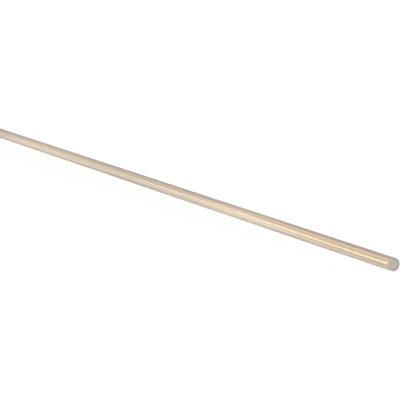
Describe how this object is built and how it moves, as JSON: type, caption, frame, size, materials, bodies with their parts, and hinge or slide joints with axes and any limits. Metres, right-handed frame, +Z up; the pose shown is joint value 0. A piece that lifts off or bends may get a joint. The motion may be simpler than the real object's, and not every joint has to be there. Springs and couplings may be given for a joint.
{
  "type": "wooden dowel rod",
  "caption": "Straight round wooden dowel rod with square sawn ends and lightly eased edges, used as a peg, axle, spindle, rail or handle.",
  "frame": {"origin": "on the rod's axis, at the middle of its length", "axes": "+X along the rod, towards the end nearest the camera in the picture; +Z up, with the rod lying level"},
  "size_m": [0.9144, 0.0096, 0.0094],
  "materials": {
    "wood": "bare pale hardwood, sanded smooth, with fine straight grain along the rod and greyer end grain"
  },
  "bodies": {
    "root": {"dowel_rod": "wood"}
  },
  "joints": []
}
